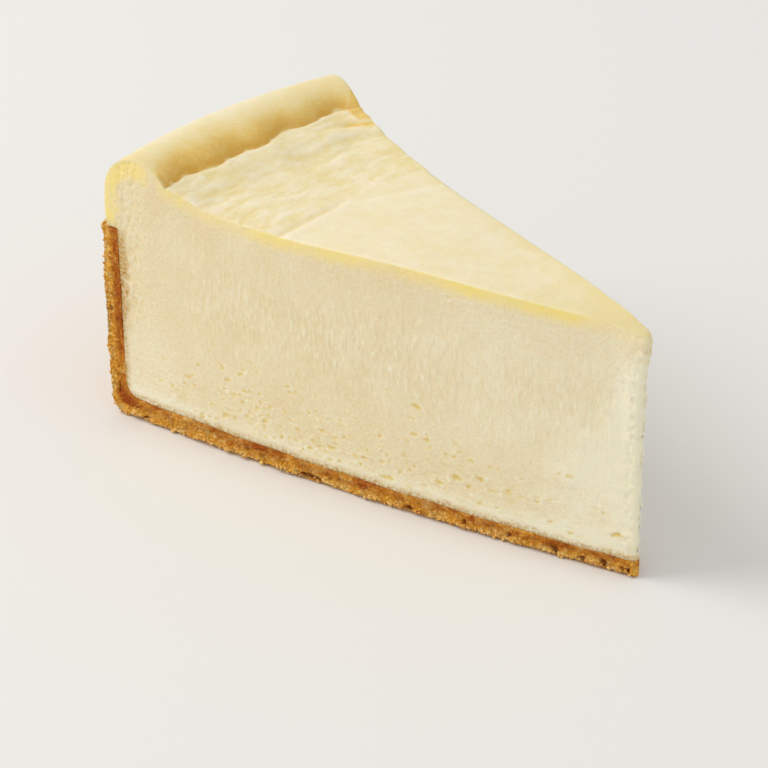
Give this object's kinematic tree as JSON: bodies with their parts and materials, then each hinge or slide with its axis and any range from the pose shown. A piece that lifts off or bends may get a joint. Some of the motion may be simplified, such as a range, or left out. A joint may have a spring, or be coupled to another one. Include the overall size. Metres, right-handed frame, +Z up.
{
  "type": "baked cheesecake slice",
  "caption": "Wedge of baked cheesecake with a biscuit-crumb base and side wall, a pale dense filling and a raised golden rim.",
  "frame": {"origin": "the middle of the slice's bounding box, on the plane that it stands on", "axes": "+Z up, +X towards the wedge's point, the rim and crust wall at -X, the bowed cut at -Y"},
  "size_m": [0.1246, 0.0608, 0.0589],
  "materials": {
    "biscuit_crumb": "baked biscuit crumb bound with butter, caramel brown with golden grains, rough and matt",
    "baked_filling": "baked soft cheese, ivory on the cuts, pale yellow skin on top, golden on the rim's inner slope, satin"
  },
  "bodies": {
    "root": {"crumb_crust": "biscuit_crumb", "cheese_filling": "baked_filling"}
  },
  "joints": []
}
